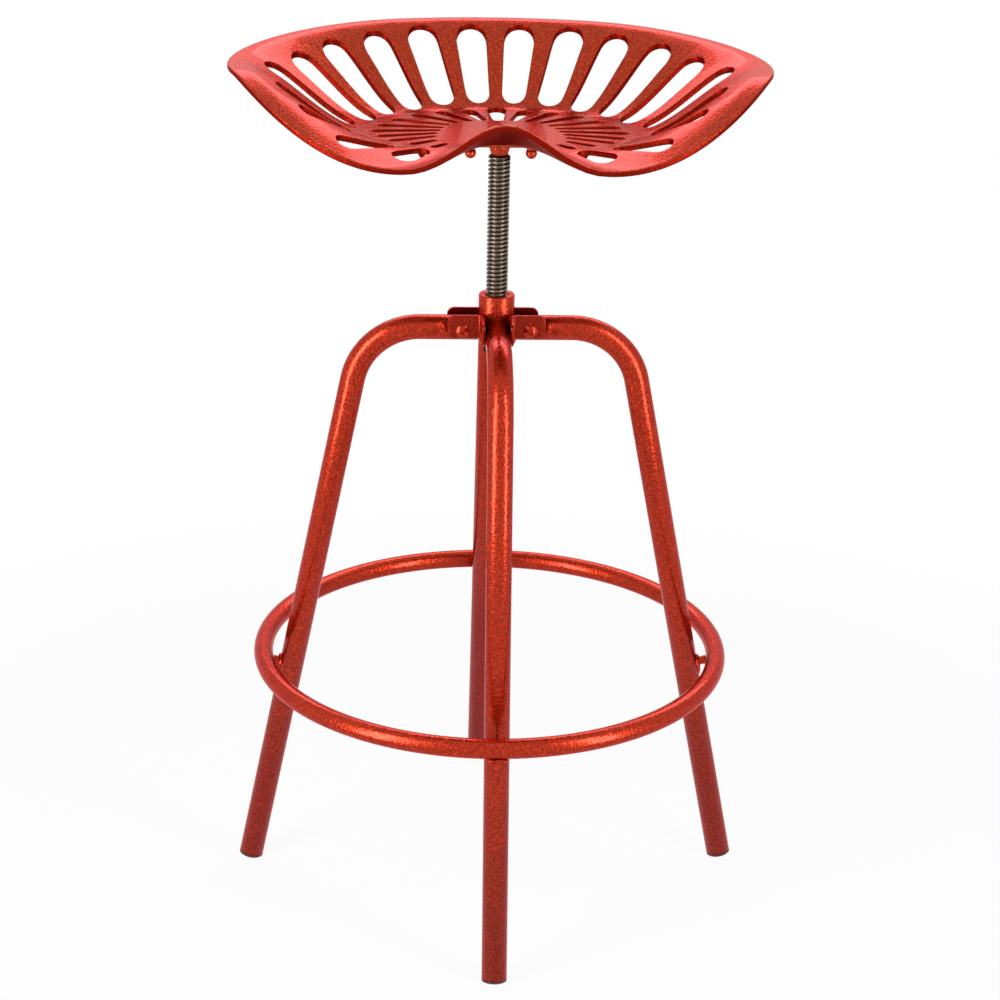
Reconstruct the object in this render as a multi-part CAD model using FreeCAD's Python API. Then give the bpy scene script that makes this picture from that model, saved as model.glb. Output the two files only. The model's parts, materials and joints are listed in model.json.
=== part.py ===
import FreeCAD, Part
import math
import os
from FreeCAD import Vector

# Tractor seat stool: a pierced cast seat on a screw, in a hub of four bolted bent tube legs, with a
# footrest ring round them. Millimetres. The origin is the floor under the screw's axis, +Z is up,
# the seat's front is toward -Y, and the legs run along +X, -X, +Y and -Y.

# Running clearances, used wherever two pieces stay free of each other
RUN_CLEARANCE = 0.3
BOLT_CLEARANCE = 0.25
FIT_CLEARANCE = 0.1

# Bent tube legs
LEG_TOP = 620.0
TUBE_R = 12.7
TUBE_WALL = 1.5
LEG_SLOPE_DEG = 11.6
FOOT_RADIUS = 258.4
BEND_RADIUS = 70.0
LEG_TO_NUT = 0.6
LEG_TURNS = (0.0, 90.0, 180.0, 270.0)
LEG_NAMES = ("right", "back", "left", "front")

# Foot plugs
PLUG_FLANGE = 2.0
PLUG_DEPTH = 14.0
PLUG_ROUND = 0.8

# Footrest ring, and the short bars square to the legs that it rests on
RING_RADIUS = 240.0
RING_TUBE_R = 10.0
RING_WALL = 1.5
RING_HEIGHT = 253.0
BAR_R = 4.5
BAR_INTO_RING = 0.4
BAR_PAST_RING = 5.0
BAR_BEAD_WIDTH = 2.2
BAR_BEAD_LENGTH = 2.5
BAR_RUN_R = 4.4
BAR_RUN_DROP = 9.0
RING_BEAD_R = 3.6

# Screw and its hub nut
SCREW_R = 10.9
PITCH = 25.4 / 6
THREAD_DEPTH = 2.2
FLANK_DEG = 14.5
CREST_SHARE = 0.37
SCREW_TOP = 785.0
SCREW_END = 586.0
SCREW_END_CHAMFER = 1.6
SPIGOT_R = 7.0
NUT_R = 18.2
NUT_TOP = 643.0
NUT_LENGTH = 51.0
NUT_RIM_CHAMFER = 2.0
NUT_MOUTH_R = 13.0
STOP_R = 12.5
STOP_THICK = 3.5
STOP_SCREW_R = 4.0
STOP_SCREW_DEPTH = 16.0
STOP_HEAD_R = 6.5
STOP_HEAD_THICK = 5.0
STOP_SOCKET_R = 2.9
STOP_SOCKET_DEPTH = 3.0

# Corner brackets of the hub, bent from flat strip
STRIP_THICK = 3.0
STRIP_BOTTOM = 600.5
STRIP_TOP = 624.0
WING_REACH = 49.5
SHORT_WING_REACH = 43.5
WING_ROUND = 7.0
STRIP_BEND_R = 3.0
WELD_R = 3.4
WELD_SHORT = 2.0

# Hub bolts through the leg ends, each in a sleeve nut with the same low dome head
HUB_BOLT_R = 3.0
HUB_SLEEVE_R = 4.0
HUB_SLEEVE_LENGTH = 22.0
HUB_BOLT_LENGTH = 22.0
HUB_BOLT_REACH = 34.2
HUB_HEAD_R = 6.8
HUB_HEAD_THICK = 3.2
HUB_HEAD_EDGE = 0.7
HUB_SOCKET_ACROSS = 4.0
HUB_SOCKET_DEPTH = 2.0

# Seat plate, neck and seat screws
PLATE_BOTTOM = 800.5
PLATE_THICK = 2.5
PLATE_SIDE = 76.0
PLATE_CORNER_R = 6.0
NECK_TOP_R = 10.6
NECK_BOTTOM_R = 8.2
SEAT_SCREW_AT = 29.7
SEAT_SCREW_R = 3.0
SEAT_SCREW_GRIP = 6.5
SEAT_HEAD_R = 5.6
SEAT_HEAD_NECK_R = 4.0
SEAT_HEAD_DROP = 5.5
WASHER_R = 7.0
WASHER_THICK = 1.5

# Cast seat: its outline seen from above, an oval with a notch at the front
SEAT_HALF_WIDTH = 265.3
SEAT_HALF_DEPTH = 190.4
NOTCH_DEPTH = 48.2
NOTCH_SPREAD_DEG = 27.0

# Cast seat: heights of its upper face at the middle, the back, the sides and the front
BASIN_HEIGHT = 810.0
BACK_HEIGHT = 886.5
SIDE_HEIGHT = 874.7
FRONT_HEIGHT = 805.2
POMMEL_RISE = 34.8
POMMEL_SPREAD_DEG = 41.5
POMMEL_PEAK = 5.0
POMMEL_PEAK_SPREAD_DEG = 26.0
SEAT_THICK = 5.7
WALL_STARTS = 0.494
WALL_ENDS = 0.961
BACK_ENDS_DEG = 22.0
SIDE_STARTS_DEG = 90.0
SIDE_ENDS_DEG = 102.0
FRONT_STARTS_DEG = 158.5
POMMEL_STARTS = 0.25
HUB_PAD_R = 15.0
SCREW_PAD_R = 8.0

# Slots of one half of the seat: turn from the back in degrees, inner and outer end as shares of the
# way to the edge, inner and outer width
OUTER_SLOTS = (
    (6.5, 0.56, 0.90, 24.5, 31.0),
    (20.0, 0.555, 0.90, 27.0, 31.5),
    (34.0, 0.535, 0.88, 23.5, 30.0),
    (49.0, 0.525, 0.87, 22.0, 29.5),
    (65.0, 0.51, 0.855, 23.5, 30.5),
    (83.0, 0.54, 0.875, 21.5, 29.0),
    (105.0, 0.57, 0.845, 20.0, 24.0),
    (122.5, 0.60, 0.86, 18.0, 22.0),
    (138.5, 0.60, 0.885, 16.0, 22.0),
    (151.5, 0.58, 0.80, 20.0, 25.0),
)
INNER_SLOTS = (
    (14.0, 0.22, 0.48, 7.5, 15.0),
    (28.0, 0.22, 0.48, 7.5, 14.0),
    (43.0, 0.225, 0.47, 7.5, 14.0),
    (61.0, 0.21, 0.455, 7.5, 14.0),
    (80.0, 0.21, 0.46, 7.5, 14.0),
    (97.0, 0.22, 0.48, 7.5, 13.0),
    (112.0, 0.25, 0.49, 7.5, 12.0),
    (125.0, 0.29, 0.50, 7.0, 11.0),
    (138.0, 0.35, 0.50, 7.0, 10.0),
    (151.0, 0.41, 0.53, 7.0, 9.0),
)
MIDDLE_SLOT = (0.0, 0.214, 0.525, 10.5, 18.0)

# How finely the seat's upper face and outline are sampled before they are smoothed
FACE_CELL = 12.0
OUTLINE_POINTS = 72

# Sizes worked out from the ones above
LEG_Z = LEG_TOP - TUBE_R
LEG_START = NUT_R + LEG_TO_NUT
SLOPE = math.radians(LEG_SLOPE_DEG)
NUT_BOTTOM = NUT_TOP - NUT_LENGTH
PLATE_TOP = PLATE_BOTTOM + PLATE_THICK
CORE_R = SCREW_R - THREAD_DEPTH
STRIP_IN = TUBE_R + FIT_CLEARANCE
STRIP_OUT = STRIP_IN + STRIP_THICK


def cylinder(radius, base, direction, length):
    return Part.makeCylinder(radius, length, Vector(*base), Vector(*direction))


def turned(shape, degrees):
    copy = shape.copy()
    copy.rotate(Vector(0, 0, 0), Vector(0, 0, 1), degrees)
    return copy


def revolved(points):
    """A solid turned about Z from a closed outline of (radius, height) points."""
    outline = [Vector(r, 0, z) for r, z in points]
    outline.append(outline[0])
    face = Part.Face(Part.makePolygon(outline))
    return face.revolve(Vector(0, 0, 0), Vector(0, 0, 1), 360)


def hexagon(across, thick, centre, direction):
    """A hexagonal prism about an axis, standing on its centre point."""
    radius = across / math.sqrt(3)
    points = []
    for k in range(7):
        a = math.radians(60 * k)
        points.append(Vector(radius * math.cos(a), radius * math.sin(a), 0))
    prism = Part.Face(Part.makePolygon(points)).extrude(Vector(0, 0, thick))
    turn = FreeCAD.Rotation(Vector(0, 0, 1), Vector(*direction))
    prism.Placement = FreeCAD.Placement(Vector(*centre), turn)
    return prism


# Legs. One leg is drawn in the plane of X and Z, then turned into place.

def slope_point(height):
    """The sloping part's centre line: distance from the axis at a height."""
    return FOOT_RADIUS - height * math.tan(SLOPE)


def down_slope():
    return Vector(math.sin(SLOPE), 0, -math.cos(SLOPE))


def foot_centre():
    """Middle of a foot plug's lower face: the foot stands on its inner edge."""
    height = TUBE_R * math.sin(SLOPE)
    return Vector(slope_point(height), 0, height)


def bend_places():
    """Where the bend starts, where it ends and its centre."""
    corner_x = slope_point(LEG_Z)
    tangent = BEND_RADIUS * math.tan((math.pi / 2 - SLOPE) / 2)
    start = Vector(corner_x - tangent, 0, LEG_Z)
    end = Vector(corner_x, 0, LEG_Z) + down_slope() * tangent
    centre = start - Vector(0, 0, BEND_RADIUS)
    return start, end, centre


def leg_rod(radius):
    """A bent round bar along the leg's centre line."""
    start, end, centre = bend_places()
    tube_end = foot_centre() - down_slope() * PLUG_FLANGE
    level = cylinder(radius, (LEG_START, 0, LEG_Z), (1, 0, 0), start.x - LEG_START)
    disc = Part.Face(Part.Wire(Part.makeCircle(radius, start, Vector(1, 0, 0))))
    bend = disc.revolve(centre, Vector(0, 1, 0), 90 - LEG_SLOPE_DEG)
    fall = cylinder(radius, tuple(end), tuple(down_slope()), (tube_end - end).Length)
    return level.fuse([bend, fall]).removeSplitter()


def hub_bolt_hole():
    start = (HUB_BOLT_REACH, -STRIP_OUT * 2, LEG_Z)
    return cylinder(HUB_SLEEVE_R + BOLT_CLEARANCE, start, (0, 1, 0), STRIP_OUT * 4)


def leg():
    tube = leg_rod(TUBE_R).cut(leg_rod(TUBE_R - TUBE_WALL))
    return tube.cut(hub_bolt_hole())


def foot_plug():
    """A plastic plug in the tube's end, with a flange that the foot stands on."""
    inside = TUBE_R - TUBE_WALL - FIT_CLEARANCE
    flange = revolved([(0, 0), (TUBE_R - PLUG_ROUND / 2, 0), (TUBE_R, PLUG_ROUND / 2),
                       (TUBE_R, PLUG_FLANGE), (0, PLUG_FLANGE)])
    stem = revolved([(0, PLUG_FLANGE), (inside, PLUG_FLANGE), (inside, PLUG_DEPTH - 2),
                     (inside - 1, PLUG_DEPTH), (0, PLUG_DEPTH)])
    plug = flange.fuse(stem)
    up = Vector(0, 0, 0) - down_slope()
    plug.Placement = FreeCAD.Placement(foot_centre(), FreeCAD.Rotation(Vector(0, 0, 1), up))
    return plug


# Footrest

def footrest_ring():
    outer = Part.makeTorus(RING_RADIUS, RING_TUBE_R)
    inner = Part.makeTorus(RING_RADIUS, RING_TUBE_R - RING_WALL)
    ring = outer.cut(inner)
    ring.translate(Vector(0, 0, RING_HEIGHT))
    return ring


def solid_ring():
    ring = Part.makeTorus(RING_RADIUS, RING_TUBE_R)
    ring.translate(Vector(0, 0, RING_HEIGHT))
    return ring


def bar_places():
    """A bar's root on the leg's centre line, its place under the ring, and its outward direction."""
    outward = Vector(math.cos(SLOPE), 0, math.sin(SLOPE))
    drop = RING_TUBE_R + BAR_R - BAR_INTO_RING
    under = Vector(RING_RADIUS, 0, RING_HEIGHT) + down_slope() * drop
    to_leg = (under.x - slope_point(under.z)) * math.cos(SLOPE)
    return under - outward * to_leg, under, outward


def bar_rod():
    root, under, outward = bar_places()
    return cylinder(BAR_R, tuple(root), tuple(outward), (under - root).Length + BAR_PAST_RING)


def ring_bar():
    """A short round bar, square to the leg and shaped to it, on which the ring rests."""
    return bar_rod().cut(leg_rod(TUBE_R)).cut(solid_ring())


def ring_bar_welds():
    """The bead round a bar's root with its run down the leg, and the two beads under the ring."""
    root, under, outward = bar_places()
    foot = root + outward * (TUBE_R - BAR_BEAD_LENGTH)
    bead_r = BAR_R + BAR_BEAD_WIDTH
    bead = Part.makeCone(bead_r, BAR_R + 0.2, BAR_BEAD_LENGTH * 2, foot, outward)
    run = root + outward * (TUBE_R - BAR_RUN_R / 4) + down_slope() * BAR_RUN_DROP
    bead = bead.fuse(Part.makeSphere(BAR_RUN_R, run))
    beads = [bead.cut(bar_rod()).cut(leg_rod(TUBE_R))]
    for side in (-1, 1):
        place = under - down_slope() * BAR_R / 2 + Vector(0, side * (BAR_R + RING_BEAD_R / 4), 0)
        bead = Part.makeSphere(RING_BEAD_R, place)
        beads.append(bead.cut(bar_rod()).cut(solid_ring()))
    return beads


# Hub

def helix_ridge(root_r, top_r, root_width, top_width, bottom, top):
    """A solid ridge that winds up the Z axis, right-handed."""
    path = Part.makeHelix(PITCH, top - bottom, root_r)
    points = [Vector(root_r, 0, -root_width / 2), Vector(top_r, 0, -top_width / 2),
              Vector(top_r, 0, top_width / 2), Vector(root_r, 0, root_width / 2)]
    points.append(points[0])
    pipe = Part.BRepOffsetAPI.MakePipeShell(path)
    pipe.setFrenetMode(True)
    pipe.add(Part.makePolygon(points))
    pipe.build()
    pipe.makeSolid()
    ridge = pipe.shape()
    ridge.translate(Vector(0, 0, bottom))
    return ridge


def groove_width(radius, grown):
    """Width of the screw's groove at a radius; its flanks are moved out by the clearance given."""
    crest_gap = PITCH * (1 - CREST_SHARE)
    slant = 2 * (SCREW_R - radius) * math.tan(math.radians(FLANK_DEG))
    return crest_gap - slant + 2 * grown


def screw_groove(bottom, top):
    past = SCREW_R + 0.6
    return helix_ridge(CORE_R, past, groove_width(CORE_R, 0), groove_width(past, 0), bottom, top)


def threaded_screw():
    """The screw, its turned spigot in the plate and the tapped hole in its lower end."""
    c = SCREW_END_CHAMFER
    body = revolved([(0, SCREW_END), (SCREW_R - c, SCREW_END), (SCREW_R, SCREW_END + c),
                     (SCREW_R, SCREW_TOP - c), (SCREW_R - c, SCREW_TOP), (SPIGOT_R, SCREW_TOP),
                     (SPIGOT_R, PLATE_TOP), (0, PLATE_TOP)])
    start = NUT_BOTTOM - PITCH * math.ceil((NUT_BOTTOM - SCREW_END) / PITCH + 1)
    turns = math.floor((SCREW_TOP - start) / PITCH)
    body = body.cut(screw_groove(start, start + PITCH * turns))
    hole = cylinder(STOP_SCREW_R + FIT_CLEARANCE, (0, 0, SCREW_END - 1), (0, 0, 1), STOP_SCREW_DEPTH + 2)
    return body.cut(hole)


def hub_nut():
    """The long nut, with a thread that leaves the running clearance all round the screw's."""
    c = NUT_RIM_CHAMFER
    bore = CORE_R + RUN_CLEARANCE
    mouth_depth = NUT_MOUTH_R - bore
    body = revolved([(bore, NUT_BOTTOM), (NUT_R - c / 2, NUT_BOTTOM), (NUT_R, NUT_BOTTOM + c / 2),
                     (NUT_R, NUT_TOP - c), (NUT_R - c, NUT_TOP), (NUT_MOUTH_R, NUT_TOP),
                     (bore, NUT_TOP - mouth_depth)])
    low_r = bore - 0.6
    top_r = SCREW_R + RUN_CLEARANCE
    low = PITCH - groove_width(low_r, -RUN_CLEARANCE)
    top = PITCH - groove_width(top_r, -RUN_CLEARANCE)
    start = NUT_BOTTOM - PITCH * 1.5
    turns = math.ceil(NUT_LENGTH / PITCH) + 3
    return body.cut(helix_ridge(low_r, top_r, low, top, start, start + PITCH * turns))


def stop_washer():
    hole = STOP_SCREW_R + RUN_CLEARANCE
    ring = revolved([(hole, 0), (STOP_R, 0), (STOP_R, STOP_THICK), (hole, STOP_THICK)])
    ring.translate(Vector(0, 0, SCREW_END - STOP_THICK - FIT_CLEARANCE))
    return ring


def stop_screw():
    """The screw in the lower end; its head holds the loose stop washer."""
    head_top = SCREW_END - STOP_THICK - 2 * FIT_CLEARANCE
    head = revolved([(0, 0), (STOP_HEAD_R - 0.6, 0), (STOP_HEAD_R, 0.6), (STOP_HEAD_R, STOP_HEAD_THICK),
                     (0, STOP_HEAD_THICK)])
    socket = hexagon(STOP_SOCKET_R * 2, STOP_SOCKET_DEPTH, (0, 0, 0), (0, 0, 1))
    head = head.cut(socket)
    head.translate(Vector(0, 0, head_top - STOP_HEAD_THICK))
    length = SCREW_END + STOP_SCREW_DEPTH - head_top
    return head.fuse(cylinder(STOP_SCREW_R, (0, 0, head_top), (0, 0, 1), length)).removeSplitter()


def strip_wing(reach):
    """One wing of a bracket, flat in X and Z, from the bend's start to its rounded end."""
    start = STRIP_IN + STRIP_BEND_R + STRIP_THICK
    r = WING_ROUND
    low = STRIP_BOTTOM
    top = STRIP_TOP
    diagonal = r * (1 - math.sqrt(0.5))
    edges = [
        Part.makeLine(Vector(start, 0, low), Vector(reach - r, 0, low)),
        Part.Arc(Vector(reach - r, 0, low), Vector(reach - diagonal, 0, low + diagonal),
                 Vector(reach, 0, low + r)).toShape(),
        Part.makeLine(Vector(reach, 0, low + r), Vector(reach, 0, top - r)),
        Part.Arc(Vector(reach, 0, top - r), Vector(reach - diagonal, 0, top - diagonal),
                 Vector(reach - r, 0, top)).toShape(),
        Part.makeLine(Vector(reach - r, 0, top), Vector(start, 0, top)),
        Part.makeLine(Vector(start, 0, top), Vector(start, 0, low)),
    ]
    wing = Part.Face(Part.Wire(edges)).extrude(Vector(0, STRIP_THICK, 0))
    wing.translate(Vector(0, STRIP_IN, 0))
    return wing.cut(hub_bolt_hole())


def corner_bracket(first_reach, second_reach):
    """A strip bent round the corner between the legs toward +X and +Y."""
    wing = strip_wing(first_reach)
    other = strip_wing(second_reach).mirror(Vector(0, 0, 0), Vector(1, -1, 0))
    centre = STRIP_IN + STRIP_BEND_R + STRIP_THICK
    height = STRIP_TOP - STRIP_BOTTOM
    start = (centre, centre, STRIP_BOTTOM)
    ring = cylinder(STRIP_BEND_R + STRIP_THICK, start, (0, 0, 1), height)
    ring = ring.cut(cylinder(STRIP_BEND_R, start, (0, 0, 1), height))
    corner = Part.makeBox(centre, centre, height, Vector(0, 0, STRIP_BOTTOM))
    return wing.fuse([ring.common(corner), other]).removeSplitter()


def hub_weld():
    """The upright weld between the hub nut and the bracket's bend toward +X and +Y."""
    bend_face = (STRIP_IN + STRIP_BEND_R + STRIP_THICK) * math.sqrt(2) - STRIP_BEND_R - STRIP_THICK
    place = (NUT_R + bend_face) / 2 * math.sqrt(0.5)
    low = STRIP_BOTTOM + WELD_SHORT
    high = STRIP_TOP - WELD_SHORT
    bead = cylinder(WELD_R, (place, place, low), (0, 0, 1), high - low)
    bead = bead.cut(cylinder(NUT_R, (0, 0, low - 1), (0, 0, 1), high - low + 2))
    return bead.cut(corner_bracket(WING_REACH, WING_REACH))


def hub_head():
    """The low dome head of the bolt toward +X, standing on the bracket's face toward -Y."""
    start = (HUB_BOLT_REACH, -STRIP_OUT, LEG_Z)
    rise = HUB_HEAD_THICK - HUB_HEAD_EDGE
    dome_r = (HUB_HEAD_R ** 2 + rise ** 2) / (2 * rise)
    top_y = -STRIP_OUT - HUB_HEAD_THICK
    dome = Part.makeSphere(dome_r, Vector(HUB_BOLT_REACH, top_y + dome_r, LEG_Z))
    head = cylinder(HUB_HEAD_R, start, (0, -1, 0), HUB_HEAD_THICK).common(dome)
    socket_start = (HUB_BOLT_REACH, top_y + HUB_SOCKET_DEPTH, LEG_Z)
    return head.cut(hexagon(HUB_SOCKET_ACROSS, HUB_SOCKET_DEPTH * 2, socket_start, (0, -1, 0)))


def hub_bolt():
    """A bolt across the leg toward +X, with its head toward -Y."""
    start = (HUB_BOLT_REACH, -STRIP_OUT, LEG_Z)
    return hub_head().fuse(cylinder(HUB_BOLT_R, start, (0, 1, 0), HUB_BOLT_LENGTH))


def hub_bolt_nut():
    """The sleeve nut from the other side, whose bore takes the bolt."""
    head = hub_head().mirror(Vector(0, 0, 0), Vector(0, 1, 0))
    sleeve = cylinder(HUB_SLEEVE_R, (HUB_BOLT_REACH, STRIP_OUT, LEG_Z), (0, -1, 0), HUB_SLEEVE_LENGTH)
    mouth = (HUB_BOLT_REACH, STRIP_OUT - HUB_SLEEVE_LENGTH - 1, LEG_Z)
    bore = cylinder(HUB_BOLT_R + FIT_CLEARANCE, mouth, (0, 1, 0), HUB_SLEEVE_LENGTH - 1)
    return head.fuse(sleeve).cut(bore)


# Seat plate and its screws

def four_corners():
    places = []
    for x in (-SEAT_SCREW_AT, SEAT_SCREW_AT):
        for y in (-SEAT_SCREW_AT, SEAT_SCREW_AT):
            places.append((x, y))
    return places


def seat_plate():
    half = PLATE_SIDE / 2
    plate = Part.makeBox(PLATE_SIDE, PLATE_SIDE, PLATE_THICK, Vector(-half, -half, PLATE_BOTTOM))
    upright = [e for e in plate.Edges if abs(e.BoundBox.ZLength - PLATE_THICK) < 1e-6]
    plate = plate.makeFillet(PLATE_CORNER_R, upright)
    holes = [(0, 0, SPIGOT_R + FIT_CLEARANCE)]
    for x, y in four_corners():
        holes.append((x, y, SEAT_SCREW_R + BOLT_CLEARANCE))
    for x, y, radius in holes:
        plate = plate.cut(cylinder(radius, (x, y, PLATE_BOTTOM - 1), (0, 0, 1), PLATE_THICK + 2))
    return plate


def neck():
    """The weld-built neck round the spigot, from the screw's shoulder to the plate."""
    bore = SPIGOT_R + FIT_CLEARANCE
    bulge = (NECK_TOP_R * 2 + NECK_BOTTOM_R) / 3
    return revolved([(bore, SCREW_TOP), (NECK_BOTTOM_R, SCREW_TOP), (bulge, SCREW_TOP + 5),
                     (NECK_TOP_R, SCREW_TOP + 8.5), (NECK_TOP_R, PLATE_BOTTOM), (bore, PLATE_BOTTOM)])


def seat_washer(x, y):
    hole = SEAT_SCREW_R + BOLT_CLEARANCE
    low = PLATE_BOTTOM - WASHER_THICK
    ring = revolved([(hole, low), (WASHER_R, low), (WASHER_R, PLATE_BOTTOM), (hole, PLATE_BOTTOM)])
    ring.translate(Vector(x, y, 0))
    return ring


def seat_screw(x, y):
    """A dome-headed screw from below, through the washer and the plate into the casting."""
    under = PLATE_BOTTOM - WASHER_THICK
    middle = under - SEAT_HEAD_DROP
    ball = Part.makeSphere(SEAT_HEAD_R, Vector(x, y, middle))
    ball = ball.common(cylinder(SEAT_HEAD_R + 1, (x, y, middle - SEAT_HEAD_R - 1), (0, 0, 1),
                                SEAT_HEAD_R + 1 + SEAT_HEAD_DROP))
    collar = cylinder(SEAT_HEAD_NECK_R, (x, y, middle), (0, 0, 1), SEAT_HEAD_DROP)
    shank = cylinder(SEAT_SCREW_R, (x, y, middle), (0, 0, 1), PLATE_TOP + SEAT_SCREW_GRIP - middle)
    return ball.fuse([collar, shank]).removeSplitter()


# Cast seat. A place on it is a turn from the back in degrees and a share of the way to the edge.

def smooth_step(value):
    value = min(1.0, max(0.0, value))
    return value * value * (3 - 2 * value)


def seat_edge(turn):
    a = math.radians(turn)
    from_front = 180 - abs(turn)
    notch = NOTCH_DEPTH * math.exp(-((from_front / NOTCH_SPREAD_DEG) ** 2))
    return SEAT_HALF_WIDTH * math.sin(a), SEAT_HALF_DEPTH * math.cos(a) + notch


def seat_place(x, y):
    """Turn and share of a point seen from above."""
    aim = math.degrees(math.atan2(x, y))
    turn = math.degrees(math.atan2(x / SEAT_HALF_WIDTH, y / SEAT_HALF_DEPTH))
    for _ in range(14):
        edge_x, edge_y = seat_edge(turn)
        miss = aim - math.degrees(math.atan2(edge_x, edge_y))
        miss = (miss + 180) % 360 - 180
        turn = max(-180.0, min(180.0, turn + 0.9 * miss))
    edge_x, edge_y = seat_edge(turn)
    return turn, math.hypot(x, y) / math.hypot(edge_x, edge_y)


def rim_height(turn):
    a = abs(turn)
    back = 1 - smooth_step((a - BACK_ENDS_DEG) / (SIDE_STARTS_DEG - BACK_ENDS_DEG))
    front = smooth_step((a - SIDE_ENDS_DEG) / (FRONT_STARTS_DEG - SIDE_ENDS_DEG))
    return SIDE_HEIGHT + (BACK_HEIGHT - SIDE_HEIGHT) * back + (FRONT_HEIGHT - SIDE_HEIGHT) * front


def swell(from_middle, rise, spread):
    """A smooth swelling across a spread, highest in its middle."""
    return rise * math.cos(math.pi * min(from_middle / spread, 0.5)) ** 2


def seat_height(turn, share):
    """Height of the upper face."""
    wall = smooth_step((share - WALL_STARTS) / (WALL_ENDS - WALL_STARTS))
    from_front = 180 - abs(turn)
    pommel = swell(from_front, POMMEL_RISE, POMMEL_SPREAD_DEG)
    pommel = pommel + swell(from_front, POMMEL_PEAK, POMMEL_PEAK_SPREAD_DEG)
    spread = smooth_step((share - POMMEL_STARTS) / (1 - POMMEL_STARTS))
    return BASIN_HEIGHT + (rim_height(turn) - BASIN_HEIGHT) * wall + pommel * spread


def seat_slab():
    """The casting as a smooth sheet of even upright thickness, wider than the seat."""
    columns = 2 * math.ceil(SEAT_HALF_WIDTH / FACE_CELL + 1) + 1
    rows = 2 * math.ceil(SEAT_HALF_DEPTH / FACE_CELL + 1) + 1
    grid = []
    for i in range(columns):
        line = []
        for j in range(rows):
            x = (i - columns // 2) * FACE_CELL
            y = (j - rows // 2) * FACE_CELL
            turn, share = seat_place(x, y)
            line.append(Vector(x, y, seat_height(turn, min(share, 1.0))))
        grid.append(line)
    surface = Part.BSplineSurface()
    surface.interpolate(grid)
    return surface.toShape().extrude(Vector(0, 0, -SEAT_THICK))


def seat_prism(low, high):
    points = []
    for k in range(OUTLINE_POINTS):
        x, y = seat_edge(360 * k / OUTLINE_POINTS - 180)
        points.append(Vector(x, y, low))
    curve = Part.BSplineCurve()
    curve.interpolate(points, PeriodicFlag=True)
    return Part.Face(Part.Wire(curve.toShape())).extrude(Vector(0, 0, high - low))


def slot_prism(slot, side, low, high):
    """An upright prism whose outline is a slot that widens outward, with round ends."""
    turn, start, end, start_width, end_width = slot
    x, y = seat_edge(turn)
    x = x * side
    reach = math.hypot(x, y)
    along = Vector(x / reach, y / reach, 0)
    across = Vector(-along.y, along.x, 0)
    r0 = start_width / 2
    r1 = end_width / 2
    p0 = along * (start * reach + r0) + Vector(0, 0, low)
    p1 = along * (end * reach - r1) + Vector(0, 0, low)
    lean = (r1 - r0) / (p1 - p0).Length
    spread = math.sqrt(1 - lean * lean)
    left = along * -lean + across * spread
    right = along * -lean - across * spread
    edges = [
        Part.Arc(p0 + left * r0, p0 - along * r0, p0 + right * r0).toShape(),
        Part.makeLine(p0 + right * r0, p1 + right * r1),
        Part.Arc(p1 + right * r1, p1 + along * r1, p1 + left * r1).toShape(),
        Part.makeLine(p1 + left * r1, p0 + left * r0),
    ]
    return Part.Face(Part.Wire(edges)).extrude(Vector(0, 0, high - low))


def seat_pan():
    low = BASIN_HEIGHT - 60
    high = BACK_HEIGHT + 40
    pan = seat_slab().common(seat_prism(low, high))
    pads = [cylinder(HUB_PAD_R, (0, 0, PLATE_TOP), (0, 0, 1), BASIN_HEIGHT - 2 - PLATE_TOP)]
    for x, y in four_corners():
        pads.append(cylinder(SCREW_PAD_R, (x, y, PLATE_TOP), (0, 0, 1), BASIN_HEIGHT - 2 - PLATE_TOP))
    pan = pan.fuse(pads)
    slots = [slot_prism(MIDDLE_SLOT, 1, low, high)]
    for slot in OUTER_SLOTS + INNER_SLOTS:
        for side in (-1, 1):
            slots.append(slot_prism(slot, side, low, high))
    pan = pan.cut(slots)
    for x, y in four_corners():
        start = (x, y, PLATE_TOP - 1)
        hole = cylinder(SEAT_SCREW_R + FIT_CLEARANCE, start, (0, 0, 1), SEAT_SCREW_GRIP + 1.2)
        pan = pan.cut(hole)
    return pan


# Everything, by the name of its node

def all_parts():
    one_leg = leg()
    one_plug = foot_plug()
    one_bar = ring_bar()
    parts = {
        "seat_pan": seat_pan(),
        "seat_plate": seat_plate(),
        "seat_screws": Part.makeCompound([seat_screw(x, y) for x, y in four_corners()]),
        "seat_washers": Part.makeCompound([seat_washer(x, y) for x, y in four_corners()]),
        "neck": neck(),
        "threaded_screw": threaded_screw(),
        "stop_washer": stop_washer(),
        "stop_screw": stop_screw(),
        "hub_nut": hub_nut(),
        "footrest_ring": footrest_ring(),
    }
    for name, turn in zip(LEG_NAMES, LEG_TURNS):
        parts["leg_" + name] = turned(one_leg, turn)
        parts["foot_plug_" + name] = turned(one_plug, turn)
        parts["ring_bar_" + name] = turned(one_bar, turn)
    parts["bracket_back_right"] = corner_bracket(SHORT_WING_REACH, WING_REACH)
    bracket = corner_bracket(WING_REACH, WING_REACH)
    for name, turn in zip(("back_left", "front_left", "front_right"), LEG_TURNS[1:]):
        parts["bracket_" + name] = turned(bracket, turn)
    beads = ring_bar_welds()
    bolt = hub_bolt()
    nut = hub_bolt_nut()
    weld = hub_weld()
    parts["ring_welds"] = Part.makeCompound([turned(bead, turn) for turn in LEG_TURNS for bead in beads])
    parts["hub_welds"] = Part.makeCompound([turned(weld, turn) for turn in LEG_TURNS])
    parts["hub_bolts"] = Part.makeCompound([turned(bolt, turn) for turn in LEG_TURNS])
    parts["hub_bolt_nuts"] = Part.makeCompound([turned(nut, turn) for turn in LEG_TURNS])
    return parts


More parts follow.
